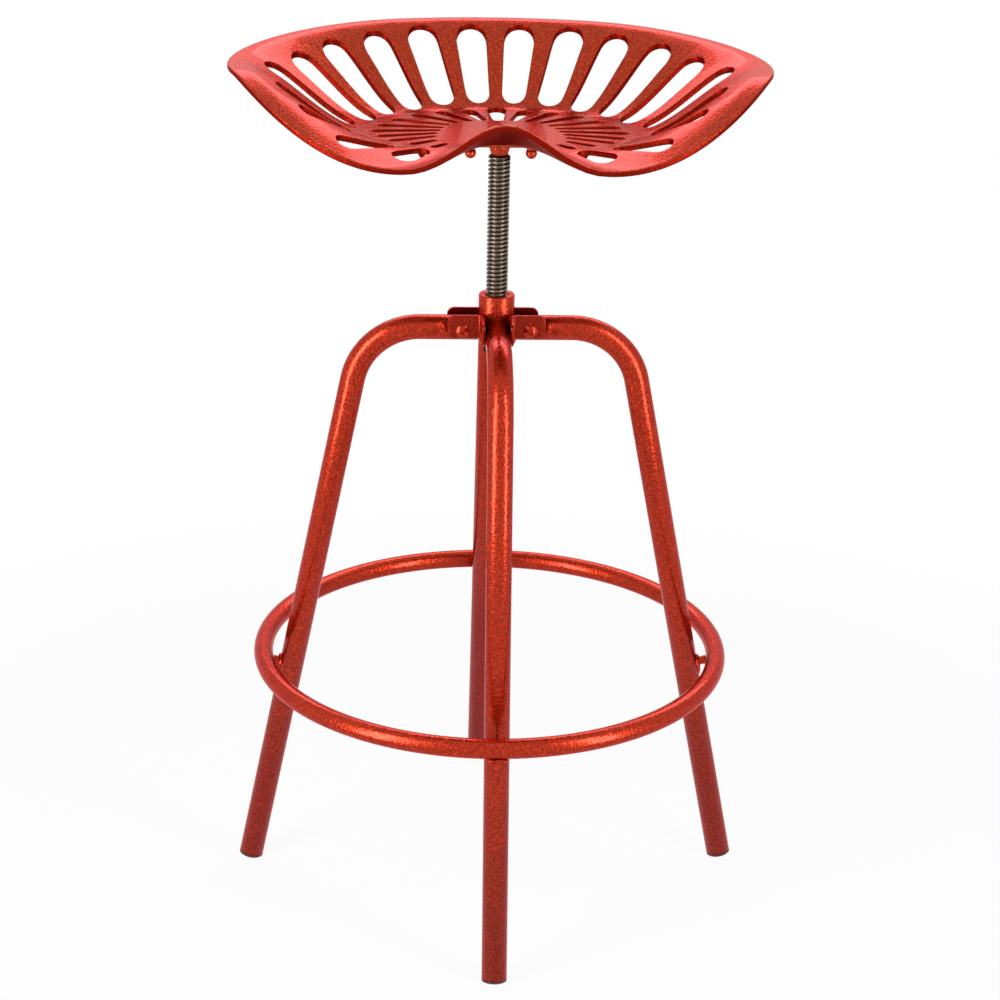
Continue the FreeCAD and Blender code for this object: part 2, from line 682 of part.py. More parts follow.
os.makedirs("parts", exist_ok=True)
for name, shape in all_parts().items():
    shape.exportStep("parts/" + name + ".step")
    heights = (round(shape.BoundBox.ZMin, 2), round(shape.BoundBox.ZMax, 2))
    print(name, len(shape.Solids), "solids", round(shape.Volume), "mm3, heights", heights)
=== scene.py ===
# %% [markdown]
# # A tractor seat stool
#
# The stool stands on four bent tubes that meet in a bolted hub. A threaded screw rises out of the hub
# and carries a pierced, dished seat of cast iron. The frame's solids are already in model.glb, so this
# lesson keeps the ones whose shape is right and gives them paint and steel, and models anew the pieces
# that need softer edges than a solid has: above all the casting.

# %% Load the imported stool
import json
import math

import bmesh
import bpy
from mathutils import Matrix, Vector


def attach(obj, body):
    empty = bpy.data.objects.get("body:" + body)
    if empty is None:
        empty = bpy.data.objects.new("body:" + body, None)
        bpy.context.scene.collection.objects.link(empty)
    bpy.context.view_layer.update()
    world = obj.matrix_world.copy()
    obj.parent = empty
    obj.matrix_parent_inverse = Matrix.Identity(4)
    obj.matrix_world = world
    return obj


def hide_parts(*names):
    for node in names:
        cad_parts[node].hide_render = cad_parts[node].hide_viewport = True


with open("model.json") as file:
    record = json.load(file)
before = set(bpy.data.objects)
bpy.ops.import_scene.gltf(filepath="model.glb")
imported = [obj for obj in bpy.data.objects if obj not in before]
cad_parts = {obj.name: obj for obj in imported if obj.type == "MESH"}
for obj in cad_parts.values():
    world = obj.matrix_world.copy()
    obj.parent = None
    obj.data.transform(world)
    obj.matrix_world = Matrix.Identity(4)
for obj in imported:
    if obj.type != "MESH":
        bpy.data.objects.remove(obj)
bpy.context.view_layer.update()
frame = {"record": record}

# %% [markdown]
# ## The camera
#
# The stool was photographed from the front, a little above the seat, with a long lens. The camera
# stands where the tubes, the ring and the feet of the photograph line up with a stool 62 cm high to
# the top of its legs. A camera looks along its own -Z, so its turn is built from three directions:
# where it looks, its right and its up, with the small tilt of the photograph.

# %% The camera at the photograph's viewing angle
CAMERA_DISTANCE = 2.3171
CAMERA_HEIGHT = 1.3228
STOOL_TURN = 0.04342
CAMERA_YAW = 0.00333
CAMERA_PITCH = 0.37171
CAMERA_TILT = 0.02136
FOCAL_SHARE = 2.38825
SENSOR_MM = 36.0
FARTHEST_SEEN = 50

yaw = CAMERA_YAW + STOOL_TURN
look = Vector((math.sin(yaw) * math.cos(CAMERA_PITCH), math.cos(yaw) * math.cos(CAMERA_PITCH),
               -math.sin(CAMERA_PITCH)))
level_right = Vector((math.cos(yaw), -math.sin(yaw), 0))
level_up = level_right.cross(look)
right = level_right * math.cos(CAMERA_TILT) + level_up * math.sin(CAMERA_TILT)
up = level_up * math.cos(CAMERA_TILT) - level_right * math.sin(CAMERA_TILT)
camera_place = Vector((-CAMERA_DISTANCE * math.sin(STOOL_TURN),
                       -CAMERA_DISTANCE * math.cos(STOOL_TURN), CAMERA_HEIGHT))

camera_data = bpy.data.cameras.new("camera")
camera_data.sensor_width = SENSOR_MM
camera_data.lens = SENSOR_MM * FOCAL_SHARE
camera_data.clip_end = FARTHEST_SEEN
camera = bpy.data.objects.new("camera", camera_data)
camera_turn = Matrix((right, up, -look)).transposed().to_4x4()
camera.matrix_world = Matrix.Translation(camera_place) @ camera_turn
bpy.context.scene.collection.objects.link(camera)
bpy.context.scene.camera = camera
print("camera at", [round(v, 3) for v in camera_place], "lens", round(camera_data.lens, 2))

# %% [markdown]
# ## The seat as a formula
#
# A cast tractor seat is a bowl with a flat middle, a steep wall and a nearly level flange, and its
# front edge lifts over a pommel. A place on it is named by a turn from the back, in degrees, and a
# share of the way from the middle to the edge. The outline gives a point for each turn, and the
# height blends from the basin to the rim with a smooth step, so the same few sizes that describe
# the casting also shape it.

# %% The outline of the casting
SEAT_HALF_WIDTH = 0.2653
SEAT_HALF_DEPTH = 0.1904
NOTCH_DEPTH = 0.0482
NOTCH_SPREAD = 27.0
TURN_GUESSES, GUESS_STEP = 10, 0.9


def seat_edge(turn):
    a = math.radians(turn)
    from_front = 180 - abs(turn)
    notch = NOTCH_DEPTH * math.exp(-((from_front / NOTCH_SPREAD) ** 2))
    return Vector((SEAT_HALF_WIDTH * math.sin(a), SEAT_HALF_DEPTH * math.cos(a) + notch, 0))


def seat_place(x, y):
    """Turn and share of a point seen from above."""
    aim = math.degrees(math.atan2(x, y))
    turn = math.degrees(math.atan2(x / SEAT_HALF_WIDTH, y / SEAT_HALF_DEPTH))
    for _ in range(TURN_GUESSES):
        edge = seat_edge(turn)
        miss = (aim - math.degrees(math.atan2(edge.x, edge.y)) + 180) % 360 - 180
        turn = max(-180.0, min(180.0, turn + GUESS_STEP * miss))
    return turn, math.hypot(x, y) / seat_edge(turn).length


print("edge from the middle, back, side, front",
      [round(seat_edge(t).length, 4) for t in (0, 90, 180)])

# %% The height of the casting
BASIN_HEIGHT = 0.8100
BACK_HEIGHT = 0.8865
SIDE_HEIGHT = 0.8747
FRONT_HEIGHT = 0.8052
POMMEL_RISE = 0.0348
POMMEL_SPREAD = 41.5
POMMEL_PEAK = 0.0050
POMMEL_PEAK_SPREAD = 26.0
WALL_STARTS, WALL_ENDS = 0.494, 0.961
BACK_ENDS, SIDE_STARTS = 22.0, 90.0
SIDE_ENDS, FRONT_STARTS = 102.0, 158.5
POMMEL_STARTS = 0.25


def smooth_step(value):
    value = min(1.0, max(0.0, value))
    return value * value * (3 - 2 * value)


def rim_height(turn):
    a = abs(turn)
    back = 1 - smooth_step((a - BACK_ENDS) / (SIDE_STARTS - BACK_ENDS))
    front = smooth_step((a - SIDE_ENDS) / (FRONT_STARTS - SIDE_ENDS))
    return SIDE_HEIGHT + (BACK_HEIGHT - SIDE_HEIGHT) * back + (FRONT_HEIGHT - SIDE_HEIGHT) * front


def swell(from_middle, rise, spread):
    """A smooth swelling across a spread, highest in its middle."""
    return rise * math.cos(math.pi * min(from_middle / spread, 0.5)) ** 2


def seat_height(turn, share):
    wall = smooth_step((share - WALL_STARTS) / (WALL_ENDS - WALL_STARTS))
    from_front = 180 - abs(turn)
    pommel = (swell(from_front, POMMEL_RISE, POMMEL_SPREAD)
              + swell(from_front, POMMEL_PEAK, POMMEL_PEAK_SPREAD))
    spread = smooth_step((share - POMMEL_STARTS) / (1 - POMMEL_STARTS))
    return BASIN_HEIGHT + (rim_height(turn) - BASIN_HEIGHT) * wall + pommel * spread


print("rim heights, back, side, front", [round(seat_height(t, 1), 4) for t in (0, 90, 180)])

# %% [markdown]
# ## Slots, each in a cell of its own
#
# The casting is pierced by a ring of long slots and a ring of short ones. A boolean cut would leave
# ragged triangles that no bevel likes, so each slot gets a cell: a many-cornered face that is inset
# a few times. The new loops keep the order of the cell's corners, so they can be moved onto the
# slot's outline one by one, and the last face is deleted. All the faces round a slot are then
# neat quads that follow its edge.

# %% The slots' places and widths
# Turn from the back in degrees, start and end as shares of the way from the middle to the edge,
# width at the start and width at the end.
OUTER_SLOTS = (
    (6.5, 0.56, 0.90, 0.0245, 0.0310),
    (20.0, 0.555, 0.90, 0.0270, 0.0315),
    (34.0, 0.535, 0.88, 0.0235, 0.0300),
    (49.0, 0.525, 0.87, 0.0220, 0.0295),
    (65.0, 0.51, 0.855, 0.0235, 0.0305),
    (83.0, 0.54, 0.875, 0.0215, 0.0290),
    (105.0, 0.57, 0.845, 0.0200, 0.0240),
    (122.5, 0.60, 0.86, 0.0180, 0.0220),
    (138.5, 0.60, 0.885, 0.0160, 0.0220),
    (151.5, 0.58, 0.80, 0.0200, 0.0250),
)
MIDDLE_SLOT = (0.0, 0.214, 0.525, 0.0105, 0.0180)
INNER_SLOTS = (
    (14.0, 0.22, 0.48, 0.0075, 0.0150),
    (28.0, 0.22, 0.48, 0.0075, 0.0140),
    (43.0, 0.225, 0.47, 0.0075, 0.0140),
    (61.0, 0.21, 0.455, 0.0075, 0.0140),
    (80.0, 0.21, 0.46, 0.0075, 0.0140),
    (97.0, 0.22, 0.48, 0.0075, 0.0130),
    (112.0, 0.25, 0.49, 0.0075, 0.0120),
    (125.0, 0.29, 0.50, 0.0070, 0.0110),
    (138.0, 0.35, 0.50, 0.0070, 0.0100),
    (151.0, 0.41, 0.53, 0.0070, 0.0090),
)
# Turn and share of the line on which the two rings of slots part.
MIDDLE_RING = ((0, 0.543), (30, 0.515), (65, 0.483), (100, 0.522), (125, 0.54), (151, 0.557),
               (180, 0.557))
RING_GAP = 0.005
CENTRE_SHARE = 0.195
FLANGE_SHARE = 0.915
MIDDLE_CELL_REACH = 0.56
print("slots", 2 * len(OUTER_SLOTS) + 2 * len(INNER_SLOTS) + 1)

# %% The corners of a cell
STEPS_ROUND = 14
STEPS_ALONG = 14


def middle_share(turn):
    """Where the two rings of slots part."""
    a = abs(turn)
    for (t0, s0), (t1, s1) in zip(MIDDLE_RING, MIDDLE_RING[1:]):
        if a <= t1:
            return s0 + (s1 - s0) * (a - t0) / (t1 - t0)
    return MIDDLE_RING[-1][1]


def outer_start(turn):
    return middle_share(turn) + RING_GAP


def inner_end(turn):
    return middle_share(turn) - RING_GAP


def at_flange(turn):
    return FLANGE_SHARE


def at_centre(turn):
    return CENTRE_SHARE


def cell_turns(slots, first):
    """The turns that part one half's slots, weighed by their widths."""
    turns = [first]
    for a, b in zip(slots, slots[1:]):
        wide_a, wide_b = a[3] + a[4], b[3] + b[4]
        turns.append(a[0] + (b[0] - a[0]) * wide_a / (wide_a + wide_b))
    turns.append(2 * slots[-1][0] - turns[-1])
    return turns


def between(a, b, steps):
    return [a + (b - a) * k / steps for k in range(steps)]


def cell_corners(turn_0, turn_1, inner, outer):
    """Points round a cell: along its inner side, out, back along its outer side and in."""
    places = [(t, inner(t)) for t in between(turn_0, turn_1, STEPS_ROUND)]
    places += [(turn_1, s) for s in between(inner(turn_1), outer(turn_1), STEPS_ALONG)]
    places += [(t, outer(t)) for t in between(turn_1, turn_0, STEPS_ROUND)]
    places += [(turn_0, s) for s in between(outer(turn_0), inner(turn_0), STEPS_ALONG)]
    return [seat_edge(t) * s for t, s in places]


outer_turns = cell_turns(OUTER_SLOTS, 0.0)
inner_turns = cell_turns(INNER_SLOTS, INNER_SLOTS[0][0] * MIDDLE_CELL_REACH)
print("outer cells end at turns", [round(t, 1) for t in outer_turns])

# %% The corners of a slot
SLOT_COLLAR = 0.0019


def slot_corners(slot, side, grow):
    """Points round a slot in the order of its cell, moved outward by grow."""
    turn, start, end, start_width, end_width = slot
    edge = seat_edge(turn * side)
    along = edge.normalized()
    across = Vector((-along.y, along.x, 0)) * -side
    near, far = start_width / 2 + grow, end_width / 2 + grow
    near_middle = along * (start * edge.length + start_width / 2)
    far_middle = along * (end * edge.length - end_width / 2)
    lean = math.asin((far - near) / (far_middle - near_middle).length)
    near_sweep, far_sweep = math.pi / 2 - lean, math.pi / 2 + lean

    def near_end(angle):
        return (near_middle - along * (near * math.cos(angle))
                + across * (near * math.sin(angle)))

    def far_end(angle):
        return far_middle + along * (far * math.cos(angle)) + across * (far * math.sin(angle))

    points = [near_end(a) for a in between(-near_sweep, near_sweep, STEPS_ROUND)]
    points += between(near_end(near_sweep), far_end(far_sweep), STEPS_ALONG)
    points += [far_end(a) for a in between(far_sweep, -far_sweep, STEPS_ROUND)]
    points += between(far_end(-far_sweep), near_end(-near_sweep), STEPS_ALONG)
    return points


print("corners round a slot", len(slot_corners(MIDDLE_SLOT, 1, 0)))

# %% All the cells
INSET = 0.0002


def add_cell(bm, corners, slot, side):
    """One cell as a face, inset to a loop half way, to a collar and to the slot, and opened."""
    collar = slot_corners(slot, side, SLOT_COLLAR)
    half_way = [(a + b) / 2 for a, b in zip(corners, collar)]
    face = bm.faces.new([bm.verts.new(p) for p in corners])
    for points in (half_way, collar, slot_corners(slot, side, 0)):
        bmesh.ops.inset_individual(bm, faces=[face], thickness=INSET, use_even_offset=False)
        for vert, point in zip(face.verts, points):
            vert.co = point
    bmesh.ops.delete(bm, geom=[face], context="FACES_ONLY")


def add_ring(bm, slots, turns, inner, outer):
    """The cells of one ring of slots, on both sides of the seat."""
    for slot, turn_0, turn_1 in zip(slots, turns, turns[1:]):
        for side in (1, -1):
            add_cell(bm, cell_corners(turn_0 * side, turn_1 * side, inner, outer), slot, side)


sheet = bmesh.new()
add_ring(sheet, OUTER_SLOTS, outer_turns, outer_start, at_flange)
add_ring(sheet, INNER_SLOTS, inner_turns, at_centre, inner_end)
add_cell(sheet, cell_corners(-inner_turns[0], inner_turns[0], at_centre, inner_end), MIDDLE_SLOT, 1)
print("cells make", len(sheet.faces), "faces")

# %% [markdown]
# ## Pommel, flange and middle
#
# Where the casting has no slots it is swept: a row of edges is extruded and the new row is put in
# its place. The pommel is swept from one side of the front to the other, the flange outward from
# the slots in rows that lie closer where the wall turns into the flange, and the middle inward.
# A ring of faces joins the two rings of cells, because their ribs do not line up.

# %% Rows of edges, and the pommel
POMMEL_STEPS = 18


def row_of(bm, points, closed=False):
    verts = [bm.verts.new(p) for p in points]
    pairs = list(zip(verts, verts[1:])) + ([(verts[-1], verts[0])] if closed else [])
    return [bm.edges.new(pair) for pair in pairs]


def extruded(bm, edges):
    """Extrude a row of edges and return the corners and the edges of the new row."""
    made = bmesh.ops.extrude_edge_only(bm, edges=edges)["geom"]
    verts = [g for g in made if isinstance(g, bmesh.types.BMVert)]
    sides = [g for g in made if isinstance(g, bmesh.types.BMEdge)]
    return verts, [e for e in sides if e.verts[0] in verts and e.verts[1] in verts]


def sweep_front(bm, start_turn, inner_share, outer_share):
    """Carry a radial row round the front, from one side to the other."""
    edge = seat_edge(start_turn)
    shares = between(inner_share, outer_share, STEPS_ALONG) + [outer_share]
    edges = row_of(bm, [edge * s for s in shares])
    turn = start_turn
    step = 2 * (180 - start_turn) / POMMEL_STEPS
    for _ in range(POMMEL_STEPS):
        old_reach = seat_edge(turn).length
        turn = turn + step
        edge = seat_edge(turn if turn <= 180 else turn - 360)
        verts, edges = extruded(bm, edges)
        for vert in verts:
            vert.co = edge * (vert.co.length / old_reach)


sweep_front(sheet, outer_turns[-1], outer_start(180), FLANGE_SHARE)
sweep_front(sheet, inner_turns[-1], CENTRE_SHARE, inner_end(180))
print("with the pommel", len(sheet.faces), "faces")

# %% The ring between the slots, the flange and the middle
FLANGE_ROWS = (0.929, 0.941, 0.952, 0.963, 0.975, 0.987, 1.0)
CENTRE_ROWS = (0.15, 0.10, 0.05)
JOIN_DISTANCE = 0.00001


def ring_turns(turns):
    """Turns of the corners round a whole ring, from one end of the front sweep to the other."""
    half = []
    for a, b in zip(turns, turns[1:]):
        half += between(a, b, STEPS_ROUND)
    half.append(turns[-1])
    front = [t if t <= 180 else t - 360
             for t in between(turns[-1], 360 - turns[-1], POMMEL_STEPS)][1:]
    start = between(-turns[0], turns[0], STEPS_ROUND)[1:] if turns[0] > 0 else []
    mirrored = [-t for t in reversed(half)]
    if turns[0] == 0:
        mirrored = mirrored[:-1]
    return mirrored + start + half + front


def whole_row(bm, turns, share_at):
    """A closed row of edges round the seat."""
    return row_of(bm, [seat_edge(t) * share_at(t) for t in ring_turns(turns)], True)


def carried(bm, edges, share, rows):
    """Carry a closed row to the share of each further row, and return the last."""
    for row in rows:
        verts, edges = extruded(bm, edges)
        bmesh.ops.scale(bm, vec=Vector((row / share, row / share, 1)), verts=verts)
        share = row
    return edges


outer_loop = whole_row(sheet, outer_turns, outer_start)
inner_loop = whole_row(sheet, inner_turns, inner_end)
bmesh.ops.bridge_loops(sheet, edges=outer_loop + inner_loop)
carried(sheet, whole_row(sheet, outer_turns, at_flange), FLANGE_SHARE, FLANGE_ROWS)
last_row = carried(sheet, whole_row(sheet, inner_turns, at_centre), CENTRE_SHARE, CENTRE_ROWS)
lid = bmesh.ops.contextual_create(sheet, geom=last_row)["faces"]
bmesh.ops.poke(sheet, faces=lid)

bmesh.ops.remove_doubles(sheet, verts=sheet.verts, dist=JOIN_DISTANCE)
bmesh.ops.recalc_face_normals(sheet, faces=sheet.faces)
if sum(f.normal.z for f in sheet.faces) < 0:
    bmesh.ops.reverse_faces(sheet, faces=sheet.faces)
print("flat casting", len(sheet.faces), "faces,", sum(1 for e in sheet.edges if e.is_boundary),
      "open edges, loose", sum(1 for e in sheet.edges if e.is_wire))

# %% [markdown]
# ## From a flat sheet to a casting
#
# Every corner of the flat sheet is lifted to the height that the formula gives for its place, less a
# shallow dip in each flank between the seventh and the eighth slot, where the far walls of the slots
# show. The sheet is then extruded down by the casting's thickness, which is measured square to its
# surface, and the sharp edges at the slots and at the rim are bevelled, because a cast edge is never
# sharp and because it is the rounded edge that catches the light. At the end each face gets a number of
# painted shade: 0 for a face that looks up, 1 for one that is upright or looks down, which the paint
# darkens as painted shade. The paint reads that number later.

# %% Lift the sheet
DIP, DIP_TURN, DIP_SPREAD = 0.0040, 110, 13
DIP_SHARE, DIP_REACH = 0.725, 0.205
AT_MIDDLE = 0.0001


def flank_dip(turn, share):
    across = (abs(turn) - DIP_TURN) / DIP_SPREAD
    along = (share - DIP_SHARE) / DIP_REACH
    if abs(across) >= 1 or abs(along) >= 1:
        return 0.0
    return DIP * math.cos(math.pi / 2 * across) ** 2 * (1 - along ** 4) ** 2


for vert in sheet.verts:
    turn, share = seat_place(vert.co.x, vert.co.y) if vert.co.length > AT_MIDDLE else (0, 0)
    vert.co.z = seat_height(turn, min(share, 1.0)) - flank_dip(turn, share)
sheet.normal_update()
print("highest and lowest", round(max(v.co.z for v in sheet.verts), 4),
      round(min(v.co.z for v in sheet.verts), 4))

# %% Thicken the sheet
SEAT_THICK = 0.0057
STEEPEST = 0.6


def seen_from_above(vert):
    """A corner's place in plan, to the micrometre."""
    return round(vert.co.x, 6), round(vert.co.y, 6)


thickness = {seen_from_above(v): SEAT_THICK / max(v.normal.z, STEEPEST) for v in sheet.verts}
upper = list(sheet.faces)
made = bmesh.ops.extrude_face_region(sheet, geom=upper, use_keep_orig=True)["geom"]
lower = [g for g in made if isinstance(g, bmesh.types.BMFace)]
for vert in [g for g in made if isinstance(g, bmesh.types.BMVert)]:
    vert.co.z -= thickness[seen_from_above(vert)]
bmesh.ops.recalc_face_normals(sheet, faces=sheet.faces)
print("thickness, upright", round(min(thickness.values()), 4), "to", round(max(thickness.values()), 4))

# %% Round the edges
SLOT_ROUND = 0.0010
RIM_ROUND = 0.0018
ROUND_STEPS = 3
RIM_SHARE = 0.98


def rounded(bm, edges, offset, segments):
    bmesh.ops.bevel(bm, geom=edges, offset=offset, offset_type="OFFSET", segments=segments,
                    profile=0.5, affect="EDGES", clamp_overlap=True, material=-1)


flat_faces = set(upper) | set(lower)
slot_edges, rim_edges = [], []
for edge in sheet.edges:
    kinds = [face in flat_faces for face in edge.link_faces]
    if len(kinds) == 2 and kinds[0] != kinds[1]:
        middle = (edge.verts[0].co + edge.verts[1].co) / 2
        share = seat_place(middle.x, middle.y)[1]
        (rim_edges if share > RIM_SHARE else slot_edges).append(edge)
print("edges to round, slots", len(slot_edges), "rim", len(rim_edges))
rounded(sheet, slot_edges, SLOT_ROUND, ROUND_STEPS)
rounded(sheet, rim_edges, RIM_ROUND, ROUND_STEPS)

# %% Where painted shade goes, and the finished casting
SHADE_ATTRIBUTE = "painted_shade"
WALL_LEVEL, FACE_LEVEL = 0.25, 0.55

# Painted shade: upright and downward faces get a number that darkens their paint.
shade = sheet.faces.layers.float.new(SHADE_ATTRIBUTE)
for face in sheet.faces:
    face[shade] = min(1.0, max(0.0, (FACE_LEVEL - face.normal.z) / (FACE_LEVEL - WALL_LEVEL)))

dressed = []


def finished(bm, name, body, slot_name, node):
    """The bmesh as a smooth piece that rides on a body and stands for a node."""
    mesh = bpy.data.meshes.new(name)
    bm.to_mesh(mesh)
    bm.free()
    mesh.polygons.foreach_set("use_smooth", [True] * len(mesh.polygons))
    piece = bpy.data.objects.new(name, mesh)
    bpy.context.scene.collection.objects.link(piece)
    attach(piece, body)
    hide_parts(node)
    dressed.append((piece, slot_name))
    return piece


casting = finished(sheet, "casting", "seat", "seat_paint", "seat_pan")
print("casting", len(casting.data.polygons), "faces")

# %% [markdown]
# ## Pads under the casting
#
# A casting is thickened where it is bolted down. Five round pads stand on the flat steel plate: a
# wide one over the screw and a small one at each of the four bolts. Each is a short cone that ends
# inside the casting, as if it had been poured with it.

# %% Pads
PLATE_TOP = 0.8030
PAD_RISE = 0.0042
SCREW_PAD_R, BOLT_PAD_R = 0.0150, 0.0080
PAD_TAPER = 0.0004
PAD_SIDES = 40
BOLT_PLACE = 0.0297

pad_places = [(0.0, 0.0, SCREW_PAD_R)]
pad_places += [(x, y, BOLT_PAD_R) for x in (-BOLT_PLACE, BOLT_PLACE) for y in (-BOLT_PLACE, BOLT_PLACE)]
pads = bmesh.new()
for x, y, radius in pad_places:
    bmesh.ops.create_cone(pads, cap_ends=True, segments=PAD_SIDES, radius1=radius - PAD_TAPER,
                          radius2=radius, depth=PAD_RISE,
                          matrix=Matrix.Translation((x, y, PLATE_TOP + PAD_RISE / 2)))
finished(pads, "casting_pads", "seat", "seat_paint", "seat_pan")
print("pads", len(pad_places))

# %% [markdown]
# ## Bent tubes
#
# Each leg is one steel tube: a level end in the hub, a bend of 70 mm radius and a straight slope to
# the floor. A loop of edges is extruded, spun round the bend and extruded again, once for the
# outside of the tube and once for its bore, and the two skins are bridged at both ends. The ring is
# a circle spun once round the stool.

# %% A leg's line
LEG_LEVEL = 0.6073
LEG_START = 0.0188
LEG_SLOPE = math.radians(11.6)
FOOT_RADIUS = 0.2584
BEND_RADIUS = 0.070
TUBE_R, TUBE_WALL = 0.0127, 0.0015
PLUG_FLANGE = 0.002

down = Vector((math.sin(LEG_SLOPE), 0, -math.cos(LEG_SLOPE)))
corner = Vector((FOOT_RADIUS - LEG_LEVEL * math.tan(LEG_SLOPE), 0, LEG_LEVEL))
tangent = BEND_RADIUS * math.tan((math.pi / 2 - LEG_SLOPE) / 2)
bend_start = corner - Vector((tangent, 0, 0))
bend_end = corner + down * tangent
foot_z = TUBE_R * math.sin(LEG_SLOPE)
tube_end = Vector((FOOT_RADIUS - foot_z * math.tan(LEG_SLOPE), 0, foot_z)) - down * PLUG_FLANGE
print("bend from", [round(v, 4) for v in bend_start], "to", [round(v, 4) for v in bend_end],
      "tube ends at", [round(v, 4) for v in tube_end])

# %% The four legs
TUBE_SIDES, BEND_STEPS = 48, 28
TURNS = {"right": 0, "back": 90, "left": 180, "front": 270}


def new_edges(bm, edges, shift):
    """Extrude a loop and move the new one."""
    verts, made = extruded(bm, edges)
    bmesh.ops.translate(bm, vec=shift, verts=verts)
    return made


def spun(bm, edges, centre, axis, angle, steps):
    """Carry a loop round an axis and return its last place."""
    geom = list({v for e in edges for v in e.verts}) + list(edges)
    made = bmesh.ops.spin(bm, geom=geom, cent=centre, axis=axis, angle=angle, steps=steps)["geom_last"]
    return [g for g in made if isinstance(g, bmesh.types.BMEdge)]


def tube_skin(bm, radius):
    """One skin of a leg toward +X, with its first and last loop."""
    start = Vector((LEG_START, 0, LEG_LEVEL))
    matrix = Matrix.Translation(start) @ Matrix.Rotation(math.pi / 2, 4, "Y")
    ring = bmesh.ops.create_circle(bm, segments=TUBE_SIDES, radius=radius, matrix=matrix)["verts"]
    first = [e for e in bm.edges if e.verts[0] in ring and e.verts[1] in ring]
    last = new_edges(bm, first, bend_start - start)
    last = spun(bm, last, bend_start - Vector((0, 0, BEND_RADIUS)), (0, 1, 0),
                math.pi / 2 - LEG_SLOPE, BEND_STEPS)
    return first, new_edges(bm, last, tube_end - bend_end)


for name, turn in TURNS.items():
    tube = bmesh.new()
    outer, inner = tube_skin(tube, TUBE_R), tube_skin(tube, TUBE_R - TUBE_WALL)
    for a, b in zip(outer, inner):
        bmesh.ops.bridge_loops(tube, edges=a + b)
    bmesh.ops.rotate(tube, matrix=Matrix.Rotation(math.radians(turn), 3, "Z"), verts=tube.verts)
    bmesh.ops.recalc_face_normals(tube, faces=tube.faces)
    leg = finished(tube, "tube_" + name, "frame", "frame_paint", "leg_" + name)
print("a leg has", len(leg.data.polygons), "faces")

# %% The footrest ring
RING_RADIUS, RING_TUBE_R, RING_HEIGHT = 0.240, 0.010, 0.253
RING_SIDES, RING_STEPS = 32, 160


def whole_turn(bm, centre, axis, steps):
    """Spin an outline a full turn, and join its end to its start."""
    bmesh.ops.spin(bm, geom=bm.verts[:] + bm.edges[:], cent=centre, axis=axis, angle=2 * math.pi,
                   steps=steps, use_merge=True)


hoop = bmesh.new()
upright = Matrix.Translation((RING_RADIUS, 0, RING_HEIGHT)) @ Matrix.Rotation(math.pi / 2, 4, "X")
bmesh.ops.create_circle(hoop, segments=RING_SIDES, radius=RING_TUBE_R, matrix=upright)
whole_turn(hoop, (0, 0, 0), (0, 0, 1), RING_STEPS)
bmesh.ops.recalc_face_normals(hoop, faces=hoop.faces)
hoop = finished(hoop, "hoop", "frame", "frame_paint", "footrest_ring")
print("hoop", len(hoop.data.polygons), "faces")

# %% [markdown]
# ## Weld beads
#
# A hand-laid weld is a row of small overlapping puddles. The bead round each footrest bar is a ring
# of such puddles laid into the corner between bar and leg: a small circle spun round the bar, then
# swollen and pinched as it goes round, and pressed onto the leg's curve. Below it the bead runs a
# little way down the leg, and two short beads hold the ring from below.

# %% Where a footrest bar meets its leg and the ring
BAR_R = 0.0045
BAR_SINK = 0.0004

outward = Vector((math.cos(LEG_SLOPE), 0, math.sin(LEG_SLOPE)))
under_ring = Vector((RING_RADIUS, 0, RING_HEIGHT)) + down * (RING_TUBE_R + BAR_R - BAR_SINK)
to_leg = (under_ring.x - (FOOT_RADIUS - under_ring.z * math.tan(LEG_SLOPE))) * math.cos(LEG_SLOPE)
root = under_ring - outward * to_leg
print("bar from", [round(v, 4) for v in root], "to", [round(v, 4) for v in under_ring])

# %% The bead round a bar
BEAD_R = 0.0021
BEAD_SIDES, BEAD_STEPS = 14, 72
BEAD_CORE_R = BAR_R + BEAD_R * 0.4
BEAD_OFF_LEG = 0.0004
BEAD_PUDDLES, PUDDLE_SWELL = 9, 0.17
UNEVEN_WAVES, UNEVEN_SWELL = 4, 0.06


def bead_ring(bm):
    """A ring of puddles in the corner between bar and leg."""
    centre = root + outward * (TUBE_R + BEAD_OFF_LEG)
    start = Matrix.Translation(centre + Vector((0, BEAD_CORE_R, 0)))
    turned = start @ Matrix.Rotation(math.pi / 2, 4, down) @ Matrix.Rotation(LEG_SLOPE, 4, "Y")
    bmesh.ops.create_circle(bm, segments=BEAD_SIDES, radius=BEAD_R, matrix=turned)
    whole_turn(bm, centre, outward, BEAD_STEPS)
    for vert in bm.verts:
        off = vert.co - centre
        along = off.dot(outward)
        flat = off - outward * along
        turn = math.atan2(flat.y, flat.dot(down))
        swollen = (1 + PUDDLE_SWELL * math.cos(BEAD_PUDDLES * turn)
                   + UNEVEN_SWELL * math.sin(UNEVEN_WAVES * turn + 1))
        core = flat.normalized() * BEAD_CORE_R
        flat = core + (flat - core) * swollen
        sink = TUBE_R - math.sqrt(TUBE_R ** 2 - min(flat.y ** 2, TUBE_R ** 2))
        vert.co = centre + flat + outward * (along * swollen - sink)


beads = bmesh.new()
bead_ring(beads)
print("bead ring", len(beads.faces), "faces")

# %% Puddles below the bar and beside the ring
# Down the leg, out of its skin, half width and half height of each puddle below the bar.
LEG_PUDDLES = ((0.0082, -0.0006, 0.0042, 0.0036), (0.0112, -0.0012, 0.0036, 0.0030),
               (0.0134, -0.0018, 0.0028, 0.0022))
LEG_PUDDLE_DEPTH = 0.0030
# Out from the bar's side and half length of each puddle that holds the ring.
RING_PUDDLES = ((0.0008, 0.0034), (0.0026, 0.0029), (-0.0008, 0.0026))
RING_PUDDLE_RISE = BAR_R * 0.45
RING_PUDDLE_BACK = 0.001
RING_PUDDLE_WIDE, RING_PUDDLE_TALL = 0.9, 0.85


